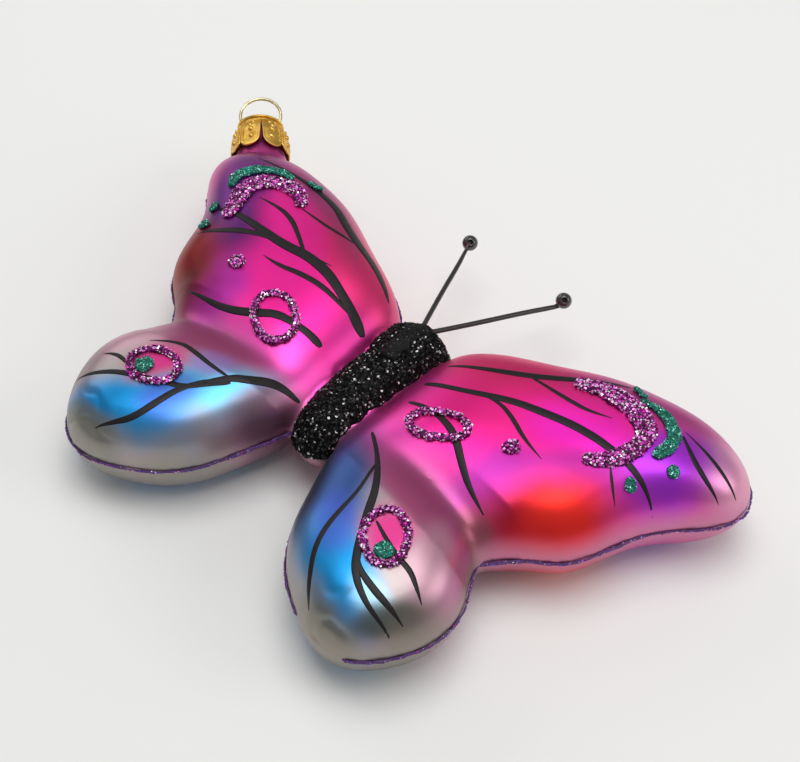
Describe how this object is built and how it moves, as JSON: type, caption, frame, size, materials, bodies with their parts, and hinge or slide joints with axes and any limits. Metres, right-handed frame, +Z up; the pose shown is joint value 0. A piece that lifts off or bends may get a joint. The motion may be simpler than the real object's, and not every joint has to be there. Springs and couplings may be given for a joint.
{
  "type": "butterfly ornament",
  "caption": "Hollow blown glass butterfly hanging ornament with glitter trails, wire antennae with beads, and a crown cap with a wire loop on one wing tip.",
  "frame": {"origin": "under the middle of the whole ornament's box, on the surface that its back lies on", "axes": "+Z up from the back to the decorated front, +Y towards the head, +X towards the butterfly's right wings; the cap is on the left forewing's tip, at -X and +Y"},
  "size_m": [0.1408, 0.0894, 0.0226],
  "materials": {
    "lacquered_glass": "satin coloured lacquer over silvered glass, pink to violet forewings and blue hindwings",
    "black_glitter": "coarse black glitter in glue",
    "pink_glitter": "magenta glitter in glue",
    "teal_glitter": "fine teal glitter in glue",
    "purple_glitter": "thin purple blue glitter trail",
    "gold_cap": "bright stamped gold coloured metal",
    "gold_wire": "pale gold plated spring wire",
    "black_wire": "black enamelled wire",
    "black_bead": "glossy brown black"
  },
  "bodies": {
    "figure": {"glass_figure": "lacquered_glass", "body_glitter_coat": "black_glitter", "antenna_glue": "black_glitter", "left_forewing_ring": "pink_glitter", "left_forewing_pink_dot": "pink_glitter", "left_forewing_pink_crescent": "pink_glitter", "left_forewing_teal_crescent": "teal_glitter", "left_forewing_teal_dots": "teal_glitter", "left_hindwing_ring": "pink_glitter", "left_hindwing_teal_dot": "teal_glitter", "left_rim_glitter": "purple_glitter", "left_antenna_wire": "black_wire", "left_antenna_bead": "black_bead", "right_forewing_ring": "pink_glitter", "right_forewing_pink_dot": "pink_glitter", "right_forewing_pink_crescent": "pink_glitter", "right_forewing_teal_crescent": "teal_glitter", "right_forewing_teal_dots": "teal_glitter", "right_hindwing_ring": "pink_glitter", "right_hindwing_teal_dot": "teal_glitter", "right_rim_glitter": "purple_glitter", "right_antenna_wire": "black_wire", "right_antenna_bead": "black_bead"},
    "cap": {"crown_cap": "gold_cap"},
    "hanger": {"hanger_wire": "gold_wire"}
  },
  "joints": [
    {"name": "cap_pull", "type": "slide", "parent": "figure", "child": "cap", "axis": [-0.6703, 0.6821, 0.2924], "range_m": [0, 0.018]},
    {"name": "hanger_slide", "type": "slide", "parent": "cap", "child": "hanger", "axis": [-0.6703, 0.6821, 0.2924], "range_m": [0, 0.0025]}
  ]
}
